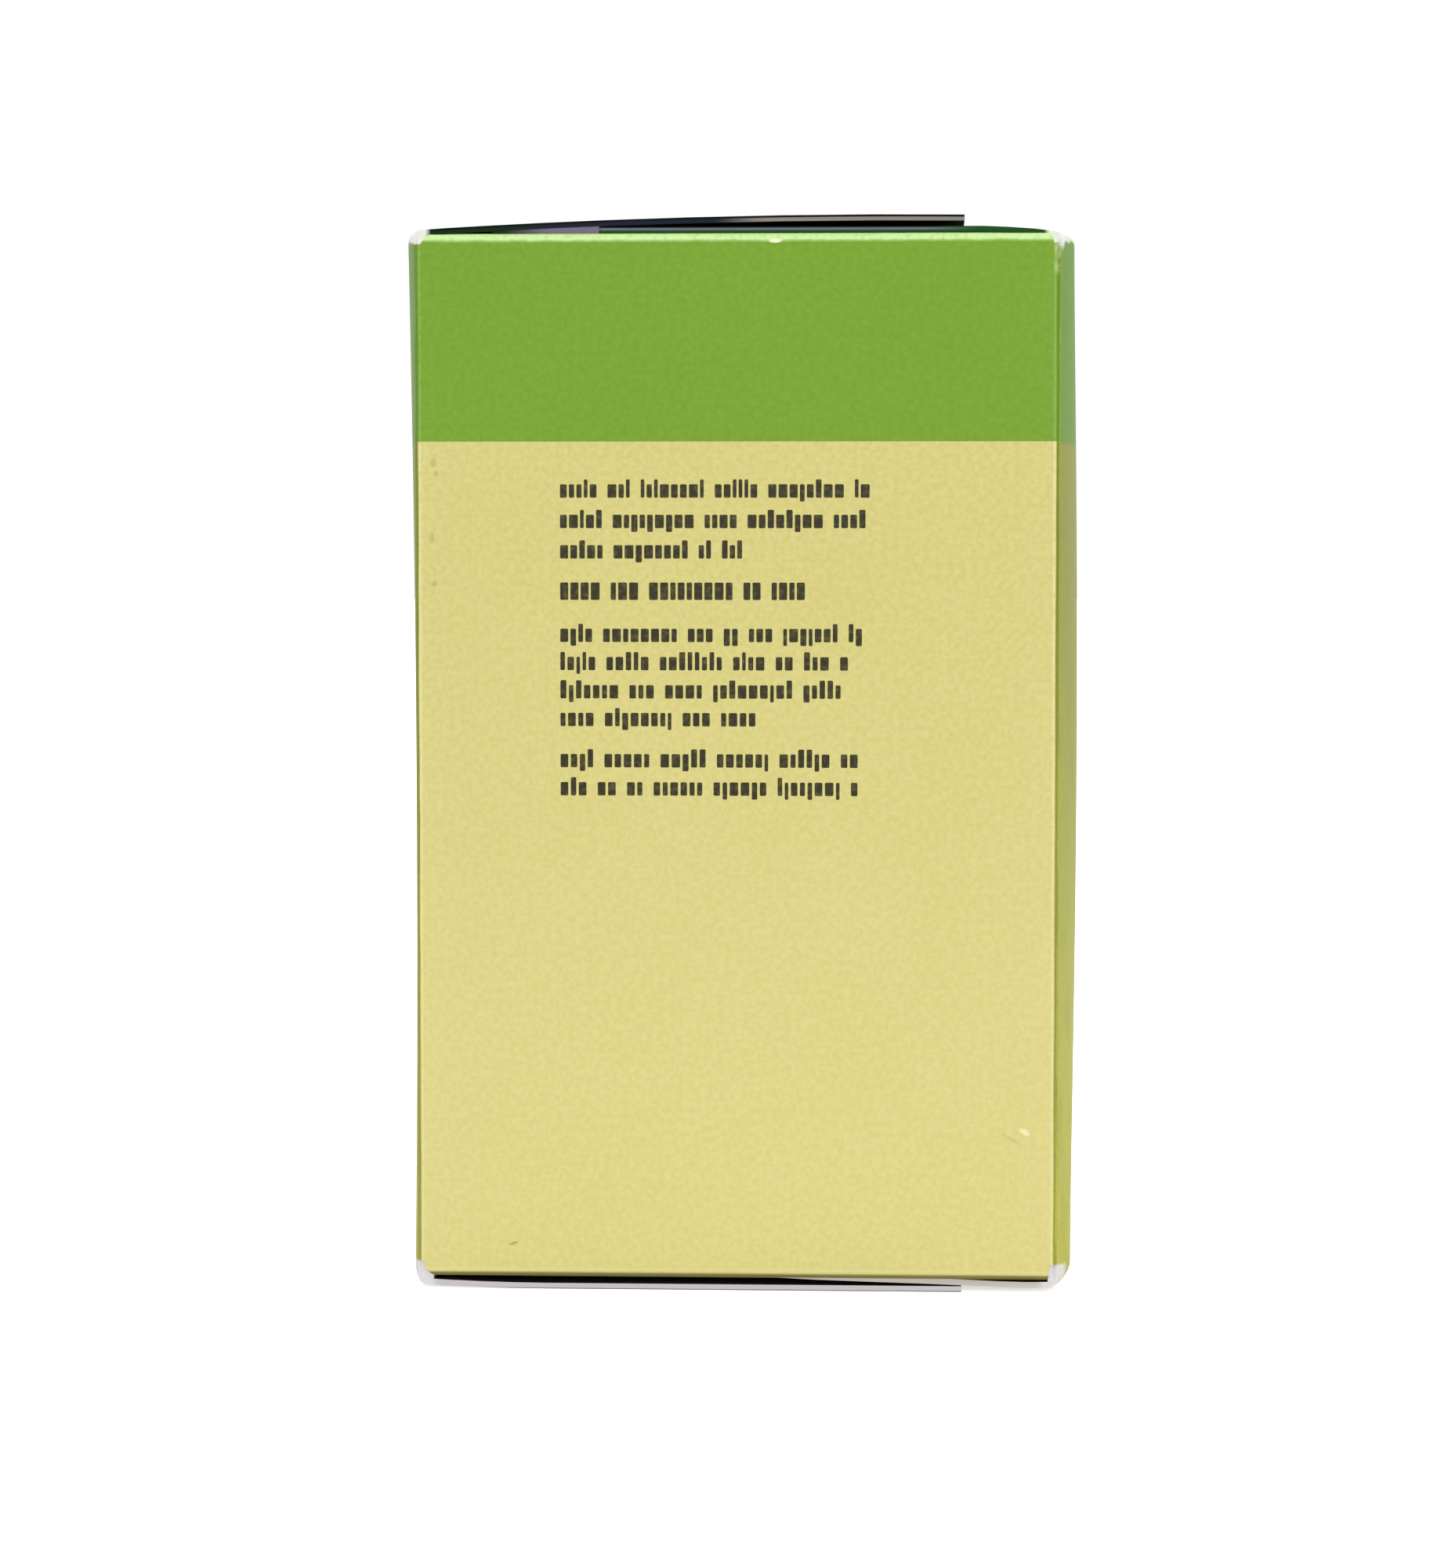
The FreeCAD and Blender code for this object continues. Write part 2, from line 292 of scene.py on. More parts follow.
coating = {
    # scale, detail and roughness of each noise: ink grain of about 0.7 mm, slow clouds of
    # 14 mm, rubbed flecks of 0.7 mm, ragged edges of 1.8 mm, and fibres, which are really
    # some 0.03 mm wide and are drawn at 0.45 mm and finer so that they show
    "noises": {
        "grain": (1400.0, 3.0, 0.55),
        "cloud": (70.0, 2.0, 0.5),
        "fleck": (1500.0, 2.0, 0.5),
        "ragged": (550.0, 2.0, 0.5),
        "fibre": (2200.0, 3.0, 0.5),
    },
    "roughness": (0.42, 0.56),
    "ior": 1.47,
    "specular": 0.16,
    "cloudInGrain": 0.16,
    "cloudInRelief": 2.0,
    "relief": (0.25, 0.03),  # strength, and depth in mm
    # heights between which the base tint turns into the header's, mm
    "tintHeights": (0.0, 101.0),
    "grainSpan": (0.38, 0.78),
    # crease, by how far a face looks sideways: rubbed band with a painted highlight, and painted
    # shadow band
    "rubbedAndLitIn": (0.06, 0.25),
    "rubbedAndLitOut": (0.62, 0.45),
    "rubbedAndLitFlecks": (0.3, 0.55, 0.35, 0.95),
    "shadowIn": (0.6, 0.75),
    "shadowOut": (0.97, 0.93),
    "shadowStrength": 0.45,
    # the wide panels' green above the band is painted deeper: painted shade on the sides, which
    # face away from the light
    "wideFacing": (0.9, 0.97),
    "wideHeights": (101.0, 101.2),
    "sideShadeStrength": 0.45,
    "sideShadeGreen": "#5f8e14",
    # painted grey sheen and shade on the left wide panel, beside the front crease, where it turns
    # away
    "greySheenSide": (-37.9, -38.3),
    "greySheenDepth": (-45.5, -50.0),
    "greySheenStrength": 0.42,
    "greySheen": "#74776a",
    # folds, by how far a face looks up or down: rubbed pale with a painted highlight on top, a
    # painted highlight at the lip and painted shade under
    "foldLift": 0.5,
    "foldIn": (0.06, 0.40),
    "foldOut": (0.995, 0.96),
    "foldFlecks": (0.25, 0.55, 0.72, 1.0),
    "lipIn": (-0.03, -0.12),
    "lipOut": (-0.42, -0.25),
    "lipStrength": 0.7,
    "underIn": (-0.35, -0.62),
    "underOut": (-0.99, -0.9),
}

wear = {
    # hinge ends rubbed through: the worn line's height at no depth, its rise with depth,
    # and the soft step across it, mm
    "hingeLines": ((-5.3, 0.175, (0.2, -0.2)), (128.4, -0.072, (-0.2, 0.2))),
    "hingeSide": (38.0, 38.3),
    "hingeDepth": (41, 47),
    "hingeFuzz": (1.2, -0.6),
    "hinge": "#f8f8f4",
    # crushed top corner, and the crease below it scuffed open
    "corner": ((39.3, -49.6, 125.6), (2.2, 2.2, 2.2)),
    "cornerFlecks": (0.2, 0.42),
    "cornerWhite": "#fdfdf8",
    "openedHeight": (120.8, 122.2),
    "openedInner": (37.3, 37.8),
    "openedOuter": (38.4, 38.1),
    "openedRagged": (0.35, 0.7, 0.0, 0.85),
    "openedFront": (-49.5, -50.0),
    "opened": "#dfe6a6",
    "chip": ((4.6, -50.6, 125.0), (1.0, 1, 0.32)),
    "chipPale": "#f2fbd2",
    # marks on the yellow: centre, half sizes, tilt, strength and colour
    "marks": [
        ((34.35, -50.8, 19.4), (0.85, 1, 0.42), 0.55, 1.0, "#fbf6bf"),  # nick
        ((32.9, -50.8, 18.5), (1.7, 1, 0.22), 0.5, 0.5, "#c9c17c"),  # its scratch
        ((-26.7, -50.8, 5.6), (0.75, 1, 0.22), -0.35, 0.8, "#b5ab62"),  # scuff
        ((-36.0, -50.8, 98.9), (0.5, 1, 0.7), 0.0, 0.6, "#bdb36d"),  # smudges by the crease
        ((-35.7, -50.8, 97.6), (0.35, 1, 0.4), 0.0, 0.6, "#bdb36d"),
        ((-36.2, -50.8, 90.0), (0.4, 1, 0.8), 0.0, 0.6, "#bdb36d"),
        ((-35.9, -50.8, 84.6), (0.5, 1, 0.45), 0.0, 0.6, "#bdb36d"),
    ],
    # the wide panels' ink lies in soft clouds, some 7 mm across
    "wideClouds": {"Scale": 140.0, "Detail": 2.5},
    "wideCloudSpan": (0.42, 0.75, 0.0, 0.24),
    "wideCloud": "#868d36",
}


def coatedBoard(name):
    # clay-coated carton board, litho printed and sealed: satin, with a faint fibre grain in the
    # ink, paler where a fold is rubbed, with painted highlight and painted shade on folds, creases
    # and the wide sides
    ink = inks[name]
    material = bpy.data.materials.new(name)
    material.use_nodes = True
    tree = material.node_tree
    shader = tree.nodes["Principled BSDF"]
    place = addNode(tree, "TexCoord").outputs["Object"]
    spot = addNode(tree, "SeparateXYZ", {0: place}).outputs
    facing = addNode(tree, "NewGeometry").outputs["Normal"]
    normal = addNode(tree, "SeparateXYZ", {0: facing}).outputs
    noise = {}
    for kind, (scale, detail, roughness) in coating["noises"].items():
        settings = {"Vector": place, "Scale": scale, "Detail": detail, "Roughness": roughness}
        noise[kind] = addNode(tree, "TexNoise", settings).outputs["Fac"]

    colour, pale = [
        blendIn(tree, fade(tree, spot["Z"], *metres(coating["tintHeights"])), low, high)
        for low, high in zip(ink["base"], ink["top"])
    ]
    grain = {0: noise["cloud"], 1: coating["cloudInGrain"], 2: noise["grain"]}
    grain = addNode(tree, "Math", grain, operation="MULTIPLY_ADD").outputs[0]
    colour = blendIn(tree, fade(tree, grain, *coating["grainSpan"]), colour, pale)

    # crease: painted paler on the narrow side, partly rubbed wear and partly a painted highlight
    # on the crease's rounding; a thin painted shadow on the wide side
    sideways = addNode(tree, "Math", {0: normal["X"]}, operation="ABSOLUTE").outputs[0]
    rubbedAndLit = allOf(
        tree,
        fade(tree, sideways, *coating["rubbedAndLitIn"]),
        fade(tree, sideways, *coating["rubbedAndLitOut"]),
        fade(tree, noise["fleck"], *coating["rubbedAndLitFlecks"]),
    )
    colour = blendIn(tree, rubbedAndLit, colour, ink["crease"])
    shadow = allOf(
        tree,
        fade(tree, sideways, *coating["shadowIn"]),
        fade(tree, sideways, *coating["shadowOut"]),
        coating["shadowStrength"],
    )
    colour = blendIn(tree, shadow, colour, ink["under"])

    # painted shade on the wide panels' green, and a painted grey sheen beside the front left
    # crease
    wide = allOf(
        tree,
        fade(tree, sideways, *coating["wideFacing"]),
        fade(tree, spot["Z"], *metres(coating["wideHeights"])),
        coating["sideShadeStrength"],
    )
    colour = blendIn(tree, wide, colour, coating["sideShadeGreen"])
    # painted sheen and shade: the left wide panel greyed beside the front crease
    greySheenMask = allOf(
        tree,
        fade(tree, spot["X"], *metres(coating["greySheenSide"])),
        fade(tree, spot["Y"], *metres(coating["greySheenDepth"])),
        coating["greySheenStrength"],
    )
    colour = blendIn(tree, greySheenMask, colour, coating["greySheen"])

    # folds that face up are painted pale, partly rubbed wear and partly a painted highlight from
    # the light above; folds that face down get a painted highlight at the lip and painted shade
    # beneath
    ragged = {0: noise["ragged"], 1: coating["foldLift"]}
    ragged = addNode(tree, "Math", ragged, operation="ADD").outputs[0]
    upwardWornAndLit = allOf(
        tree,
        fade(tree, allOf(tree, normal["Z"], ragged), *coating["foldIn"]),
        fade(tree, normal["Z"], *coating["foldOut"]),
        fade(tree, noise["fleck"], *coating["foldFlecks"]),
    )
    colour = blendIn(tree, upwardWornAndLit, colour, ink["fold"])
    # painted highlight: a pale line along the lip of a fold that faces down
    lipHighlight = allOf(
        tree,
        fade(tree, normal["Z"], *coating["lipIn"]),
        fade(tree, normal["Z"], *coating["lipOut"]),
        coating["lipStrength"],
    )
    colour = blendIn(tree, lipHighlight, colour, ink["crease"])
    # painted shade on the underside of a fold that faces down
    under = allOf(
        tree,
        fade(tree, normal["Z"], *coating["underIn"]),
        fade(tree, normal["Z"], *coating["underOut"]),
    )
    colour = blendIn(tree, under, colour, ink["under"])

    # hinge ends of the wide panels are rubbed through to the white clay
    depth = addNode(tree, "Math", {0: spot["Y"]}, operation="ABSOLUTE").outputs[0]
    aside = addNode(tree, "Math", {0: spot["X"]}, operation="ABSOLUTE").outputs[0]
    spread, sink = metres(wear["hingeFuzz"])
    fuzz = {0: noise["ragged"], 1: spread, 2: sink}
    fuzz = addNode(tree, "Math", fuzz, operation="MULTIPLY_ADD").outputs[0]
    height = addNode(tree, "Math", {0: spot["Z"], 1: fuzz}, operation="ADD").outputs[0]
    ends = []
    for start, rise, span in wear["hingeLines"]:
        line = {0: depth, 1: rise, 2: start * mm}
        line = addNode(tree, "Math", line, operation="MULTIPLY_ADD").outputs[0]
        past = addNode(tree, "Math", {0: height, 1: line}, operation="SUBTRACT").outputs[0]
        ends.append(fade(tree, past, *metres(span)))
    worn = allOf(
        tree,
        addNode(tree, "Math", {0: ends[0], 1: ends[1]}, operation="MAXIMUM").outputs[0],
        fade(tree, aside, *metres(wear["hingeSide"])),
        fade(tree, depth, *metres(wear["hingeDepth"])),
    )
    colour = blendIn(tree, worn, colour, wear["hinge"])

    # the crushed top corner, the opened crease below it, and the chip in the top fold
    crushed = allOf(
        tree, near(tree, place, *wear["corner"]), fade(tree, noise["fleck"], *wear["cornerFlecks"])
    )
    colour = blendIn(tree, crushed, colour, wear["cornerWhite"])
    opened = allOf(
        tree,
        fade(tree, spot["Z"], *metres(wear["openedHeight"])),
        fade(tree, spot["X"], *metres(wear["openedInner"])),
        fade(tree, spot["X"], *metres(wear["openedOuter"])),
        fade(tree, noise["ragged"], *wear["openedRagged"]),
        fade(tree, spot["Y"], *metres(wear["openedFront"])),
    )
    colour = blendIn(tree, opened, colour, wear["opened"])
    colour = blendIn(tree, near(tree, place, *wear["chip"]), colour, wear["chipPale"])
    tree.links.new(colour, shader.inputs["Base Color"])

    smooth, dull = coating["roughness"]
    rough = addNode(tree, "MapRange", {"Value": noise["grain"], "To Min": smooth, "To Max": dull})
    tree.links.new(rough.outputs[0], shader.inputs["Roughness"])
    shader.inputs["IOR"].default_value = coating["ior"]
    shader.inputs["Specular IOR Level"].default_value = coating["specular"]
    # fibre relief under the coating
    relief = {0: noise["cloud"], 1: coating["cloudInRelief"], 2: noise["fibre"]}
    relief = addNode(tree, "Math", relief, operation="MULTIPLY_ADD").outputs[0]
    strength, rise = coating["relief"]
    relief = {"Height": relief, "Strength": strength, "Distance": rise * mm}
    tree.links.new(addNode(tree, "Bump", relief).outputs[0], shader.inputs["Normal"])
    return material


greenBoard = coatedBoard("greenCoatedCarton")
yellowBoard = coatedBoard("yellowCoatedCarton")
oliveBoard = coatedBoard("oliveCoatedCarton")

tree = yellowBoard.node_tree
shader = tree.nodes["Principled BSDF"]
place = addNode(tree, "TexCoord").outputs["Object"]
colour = shader.inputs["Base Color"].links[0].from_socket
for spot, size, tilt, strength, tint in wear["marks"]:
    mask = near(tree, place, spot, size, tilt)
    if strength < 1:
        mask = allOf(tree, mask, strength)
    colour = blendIn(tree, mask, colour, tint)
tree.links.new(colour, shader.inputs["Base Color"])

tree = oliveBoard.node_tree
shader = tree.nodes["Principled BSDF"]
place = addNode(tree, "TexCoord").outputs["Object"]
cloud = addNode(tree, "TexNoise", {"Vector": place, **wear["wideClouds"]}).outputs["Fac"]
colour = shader.inputs["Base Color"].links[0].from_socket
colour = blendIn(tree, fade(tree, cloud, *wear["wideCloudSpan"]), colour, wear["wideCloud"])
tree.links.new(colour, shader.inputs["Base Color"])

pulp = {
    "roughness": 0.9,
    "specular": 0.2,
    "layers": (300, 300, 6000),  # fibre layers 3 mm long and 0.17 mm thick
    "detail": 3.0,
    "relief": (0.4, 0.03),  # strength, and depth in mm
    # the inside pulp's colours are painted shade, near black
    "inside": ("#1d1a17", "#2b2722"),
}

# cut edges of the top flaps, painted dark as the shade under the closed top, with ink in the outer
# flap's top line: each colour with the soft step that brings it in, mm
shadedTopEdges = {
    "arch": (127.95, 0.01875, -0.0005515),  # the outer flap's top line as a curve in x
    "outer": ("#857d79", "#9b928c"),
    "outerNavy": ((4.0, -3.0), "#1b2133"),
    "outerHinge": ((-21.5, -28.5), "#0d2c0e"),
    "outerLine": ((0.32, 0.22), "#080c12"),
    "lifted": "#7a7183",
    "liftedBelow": (0.66, 0.74),
    "liftedFrom": (-28.5, -21.5),
    "liftedTo": (-15.8, -16.0),
    "inner": ("#5d6672", "#737c86"),
    "innerLine": ((126.54, 126.62), "#141826"),
    "innerHinge": ((22, 29), "#1c5222"),
    "innerFoot": ((126.34, 126.26), "#1f4a1c"),
    "innerTop": (126.78, 126.74),
    "innerEnd": (-16.4, -16.2),
    "hinges": ((36.2, 37.0), "#f3f2ec"),
}

# cut edges of the base flaps
pale = {
    "pulp": ("#cfc7c0", "#ddd6d2"),
    "outer": ((0.95, 0.85), "#dcd7dd"),
    "footLine": ((0.17, 0.09), "#8f8a90"),
    "hinges": ((35.8, 36.8), "#efebf2"),
}


def cutBoard(name):
    # sheared pulp board: dull, fine fibre layers running along the cut
    material = bpy.data.materials.new(name)
    material.use_nodes = True
    tree = material.node_tree
    shader = tree.nodes["Principled BSDF"]
    shader.inputs["Roughness"].default_value = pulp["roughness"]
    shader.inputs["Specular IOR Level"].default_value = pulp["specular"]
    place = addNode(tree, "TexCoord").outputs["Object"]
    spot = addNode(tree, "SeparateXYZ", {0: place}).outputs
    layers = addNode(tree, "Mapping", {"Vector": place, "Scale": pulp["layers"]}).outputs[0]
    fibre = {"Vector": layers, "Scale": 1.0, "Detail": pulp["detail"]}
    fibre = addNode(tree, "TexNoise", fibre).outputs["Fac"]
    strength, rise = pulp["relief"]
    relief = {"Height": fibre, "Strength": strength, "Distance": rise * mm}
    tree.links.new(addNode(tree, "Bump", relief).outputs[0], shader.inputs["Normal"])
    return material, tree, shader, spot, fibre


def tinted(tree, value, step, colour):
    # lays a colour in by a soft step along one value, mm
    span, tint = step
    return blendIn(tree, fade(tree, value, *metres(span)), colour, tint)


# inside face: grey-brown pulp painted near black, as painted shade inside the closed box
shadedInnerBoard, tree, shader, spot, fibre = cutBoard("greyPulpBoardInsidePaintedShade")
tree.links.new(blendIn(tree, fibre, *pulp["inside"]), shader.inputs["Base Color"])

# cut edges of the top flaps: painted shade with some ink, dark at the hinge and taupe towards the
# free end
shadedTopEdge, tree, shader, spot, fibre = cutBoard("shadedInkyTopBoardEdge")
across, level = spot["X"], spot["Z"]
colour = blendIn(tree, fibre, *shadedTopEdges["outer"])
# painted shade: navy over the hinge half of the outer flap's edge, dark green at the hinge
colour = tinted(tree, across, shadedTopEdges["outerNavy"], colour)
colour = tinted(tree, across, shadedTopEdges["outerHinge"], colour)
# a dark line along the outer flap's top, ink seen edge on and painted shade
start, slope, curve = shadedTopEdges["arch"]
rise = {0: across, 1: curve / mm, 2: slope}
rise = addNode(tree, "Math", rise, operation="MULTIPLY_ADD").outputs[0]
arch = {0: across, 1: rise, 2: start * mm}
arch = addNode(tree, "Math", arch, operation="MULTIPLY_ADD").outputs[0]
below = addNode(tree, "Math", {0: arch, 1: level}, operation="SUBTRACT").outputs[0]
colour = tinted(tree, below, shadedTopEdges["outerLine"], colour)
lifted = allOf(
    tree,
    fade(tree, below, *metres(shadedTopEdges["liftedBelow"])),
    fade(tree, across, *metres(shadedTopEdges["liftedFrom"])),
    fade(tree, across, *metres(shadedTopEdges["liftedTo"])),
)
colour = blendIn(tree, lifted, colour, shadedTopEdges["lifted"])
# the inner flap's edge: grey-blue, with painted shade in a dark line above and dark green at its
# foot and hinge
lower = blendIn(tree, fibre, *shadedTopEdges["inner"])
lower = tinted(tree, level, shadedTopEdges["innerLine"], lower)
lower = tinted(tree, across, shadedTopEdges["innerHinge"], lower)
lower = tinted(tree, level, shadedTopEdges["innerFoot"], lower)
inner = allOf(
    tree,
    fade(tree, level, *metres(shadedTopEdges["innerTop"])),
    fade(tree, across, *metres(shadedTopEdges["innerEnd"])),
)
colour = blendIn(tree, inner, colour, lower)
away = addNode(tree, "Math", {0: across}, operation="ABSOLUTE").outputs[0]
colour = tinted(tree, away, shadedTopEdges["hinges"], colour)
tree.links.new(colour, shader.inputs["Base Color"])

# cut edges of the base flaps: clean grey-white pulp with a thin darker line at its foot
paleEdge, tree, shader, spot, fibre = cutBoard("paleBoardEdge")
colour = blendIn(tree, fibre, *pale["pulp"])
colour = tinted(tree, spot["Z"], pale["outer"], colour)
colour = tinted(tree, spot["Z"], pale["footLine"], colour)
away = addNode(tree, "Math", {0: spot["X"]}, operation="ABSOLUTE").outputs[0]
colour = tinted(tree, away, pale["hinges"], colour)
tree.links.new(colour, shader.inputs["Base Color"])
print("board finishes are mixed")

# the folded board

carton = {
    "width": 76.2,
    "depth": 101.56,
    "wallLow": 3.4,
    "wallHigh": 124.7,
    "band": 101.4,  # height at which the header's green begins
    "board": 0.7,
    "crease": 0.7,
    "creaseSteps": 4,
    "rows": 29,
    "columns": 31,
    "uprightCuts": (-24, -12, 0, 12, 24),  # across the narrow panels, in x
    "flapEnd": 50.0,  # the closing flaps stop this far from the middle, in y
    # bow of the wide panels: heights, then how far out they stand at each of them
    "heights": (0.0, 96.1, 130.0),
    "rightShoulder": (2.2, 2.2, 2.15),
    "leftShoulder": (1.9, 1.9, 2.3),
    "bow": (2.8, 3.5, 2.7),
    "shoulderDepth": 14.0,
    "fullWeight": 4.0,  # how far a vertex of full weight moves
    "weld": 0.005,
    "smoothAngle": 32,
}
halfWidth, halfDepth = carton["width"] / 2, carton["depth"] / 2


def atHeight(z, values):
    # smooth curve through the three heights
    a, b, c = carton["heights"]
    return (
        values[0] * (z - b) * (z - c) / ((a - b) * (a - c))
        + values[1] * (z - a) * (z - c) / ((b - a) * (b - c))
        + values[2] * (z - a) * (z - b) / ((c - a) * (c - b))
    )


def bowAt(side, y, z):
    # how far a wide panel stands out: a quick shoulder, then a long shallow bow
    shoulder = atHeight(z, carton["leftShoulder" if side < 0 else "rightShoulder"])
    bow = atHeight(z, carton["bow"])
    flat = halfDepth - carton["shoulderDepth"]
    if abs(y) <= flat:
        return bow - (bow - shoulder) * (y / flat) ** 2
    t = min((abs(y) - flat) / carton["shoulderDepth"], 1)
    slope = 2 * (bow - shoulder) / flat * carton["shoulderDepth"]
    return shoulder - slope * t - (shoulder - slope) * t * t


def cutAcross(axis, at):
    place, normal = [0, 0, 0], [0, 0, 0]
    place[axis], normal[axis] = at * mm, 1
    bpy.ops.mesh.select_all(action="SELECT")
    bpy.ops.mesh.bisect(plane_co=place, plane_no=normal)


def atCorner(edge):
    spot = middle(edge)
    outside = abs(spot.x) > halfWidth - slack["exact"]
    return along(edge, 2) and outside and abs(spot.y) > halfDepth - slack["exact"]


def atGlue(edge):
    # the rear left corner, where the blank's two ends meet
    return middle(edge).x < 0 < middle(edge).y


deselectAll()
bpy.ops.mesh.primitive_cube_add(size=1, location=(0, 0, 0))
board = openPiece("folded_carton")
low, high = carton["wallLow"], carton["wallHigh"]
bpy.ops.transform.resize(value=metres((carton["width"], carton["depth"], high - low)))
bpy.ops.transform.translate(value=(0, 0, (high + low) / 2 * mm))
# outer faces, the same faces' inner sides, and their cut edges
for material in (
    greenBoard, yellowBoard, oliveBoard,
    shadedInnerBoard, shadedInnerBoard, shadedInnerBoard,
    shadedTopEdge, paleEdge, paleEdge,
):
    board.data.materials.append(material)
pick(board, "faces", lambda f: abs(f.normal.z) > facing)
bpy.ops.mesh.delete(type="FACE")
pick(board, "edges", lambda e: along(e, 2))
bpy.ops.mesh.subdivide(number_cuts=carton["rows"])
pick(board, "edges", lambda e: along(e, 1))
bpy.ops.mesh.subdivide(number_cuts=carton["columns"])
cutAcross(2, carton["band"])
for y in (-carton["flapEnd"], carton["flapEnd"]):
    cutAcross(1, y)
for x in carton["uprightCuts"]:
    cutAcross(0, x)
pick(board, "edges", lambda e: atCorner(e) and not atGlue(e))
bpy.ops.mesh.bevel(
    offset=carton["crease"] * mm, segments=carton["creaseSteps"], profile=0.5, affect="EDGES"
)
# the wide panel and the rear panel part at the glued corner
pick(board, "edges", lambda e: atCorner(e) and atGlue(e))
bpy.ops.mesh.edge_split(type="EDGE")

# fields of colour: wide panels, narrow panels, header
for index, test in (
    (2, lambda c: True),
    (1, lambda c: abs(c.y) > halfDepth - slack["panel"]),
    (0, lambda c: c.z > carton["band"]),
):
    board.active_material_index = index
    if pick(board, "faces", lambda f: test(f.calc_center_median() / mm)):
        bpy.ops.object.material_slot_assign()
closePiece()

# the wide panels stand out by the weight of their own vertex group
for side in (-1, 1):
    group = board.vertex_groups.new(name="leftBow" if side < 0 else "rightBow")
    for v in board.data.vertices:
        spot = v.co / mm
        if side * spot.x > halfWidth - slack["exact"] and abs(spot.y) < halfDepth - slack["panel"]:
            weight = max(bowAt(side, spot.y, spot.z), 0) / carton["fullWeight"]
            group.add([v.index], weight, "REPLACE")
    applyModifier(
        board, "DISPLACE", direction="X", mid_level=0,
        strength=side * carton["fullWeight"] * mm, vertex_group=group.name,
    )
board.vertex_groups.clear()

# creases are never dead straight: small dents, all of them inwards
dents = {"depth": 0.22, "size": 9.0, "reach": 1.0}
texture = bpy.data.textures.new("creaseDents", "CLOUDS")
texture.noise_scale = dents["size"] * mm
group = board.vertex_groups.new(name="creases")
for v in board.data.vertices:
    spot = v.co / mm
    beside = abs(spot.x) > halfWidth - dents["reach"]
    if beside and abs(spot.y) > carton["flapEnd"] + slack["exact"]:
        group.add([v.index], 1, "REPLACE")
applyModifier(
    board, "DISPLACE", texture=texture, direction="NORMAL", mid_level=1,
    strength=dents["depth"] * mm, vertex_group=group.name,
)
board.vertex_groups.clear()
print("walls of the carton are up")


def quarterTurn(radius, steps):
    # the strides, along and across, that carry an edge round a fold
    stride = 2 * radius * math.sin(math.radians(45 / steps))
    for step in range(steps):
        turn = math.radians(90 / steps * (step + 0.5))
        yield stride * math.cos(turn), stride * math.sin(turn)


def rearEnd(edge):
    # the rear panel's own edge at the glued corner
    spot = middle(edge)
    if not along(edge, 2) or spot.x > slack["line"] - halfWidth:
        return False
    onRear = any(f.normal.y > facing for f in edge.link_faces)
    return spot.y > halfDepth - slack["line"] and onRear


# rear panel's glue lap, turned in behind the wide panel's raw edge
lap = {"gap": 0.25, "length": 12.0, "bend": 0.5, "steps": 4, "lean": 0.1}
bpy.ops.object.mode_set(mode="EDIT")
pick(board, "edges", rearEnd)
lineUp(x=-halfWidth + carton["board"] + lap["gap"] + lap["bend"])
for ahead, across in quarterTurn(lap["bend"], lap["steps"]):
    extrudeBy(-ahead, -across, 0)
extrudeBy(lap["lean"], -lap["length"], 0)


def topEdge(edge, z):
    level = abs(middle(edge).z - z) < slack["level"]
    return edge.is_boundary and level and not along(edge, 2)


def wideSide(side, z):
    inner, end = halfWidth - slack["dented"], carton["flapEnd"] - slack["exact"]
    return lambda e: topEdge(e, z) and side * middle(e).x > inner and abs(middle(e).y) < end


def narrowSide(side, z):
    inner, end = halfDepth - slack["dented"], halfWidth - carton["crease"]
    return lambda e: topEdge(e, z) and side * middle(e).y > inner and abs(middle(e).x) < end


def foldBy(side, axis, up, start, z, radius, narrowing=1.0, about=0.0, steps=6):
    # carries the selected edge up to the fold's start, then round it
    extrudeBy(0, 0, start - z)
    for ahead, across in quarterTurn(radius, steps):
        move = [0, 0, up * ahead]
        move[axis] = -side * across
        extrudeBy(*move)
        if narrowing != 1:
            bpy.ops.transform.resize(
                value=(narrowing, 1, 1), center_override=metres((about, 0, 0))
            )


def archAt(x):
    # height of the outer top flap's upper face, mm
    start, slope, curve = shadedTopEdges["arch"]
    return start + slope * x + curve * x * x


flaps = {
    # side of the hinge, up or down, fold's start and radius, then x and z on to the free end
    "topOuter": (
        -1, 1, 125.45, 1.0,
        [(x, archAt(x)) for x in (-34.5, -29, -22.5, -16.1, -6, 5.4, 16, 26.9)],
    ),
    "topInner": (
        1, 1, 125.1, 1.0,
        [(35.2, 126.38), (32, 126.6), (29.1, 126.72), (22, 126.72), (12, 126.72), (0, 126.72),
         (-16.1, 126.72)],
    ),
    "bottomOuter": (
        -1, -1, 1.45, 1.0,
        [(-35.5, 0.33), (-31, 0.14), (-27, 0.04), (-23.1, 0.0), (-12, 0), (0, 0), (12, 0),
         (26.9, 0.0)],
    ),
    "bottomInner": (
        1, -1, 1.62, 1.0,
        [(34.5, 0.58), (31, 0.66), (26.9, 0.84), (23.5, 0.96), (14.2, 1.22), (9.5, 1.36),
         (2.7, 1.68), (-1.9, 1.95), (-8, 2.4)],
    ),
}
for name, (side, up, start, radius, stations) in flaps.items():
    z = high if up > 0 else low
    print(name, "hinge edges", pick(board, "edges", wideSide(side, z)))
    foldBy(side, 0, up, start, z, radius)
    for x, level in stations:
        extrudeBy(0, 0, 0)
        lineUp(x=x, z=level)

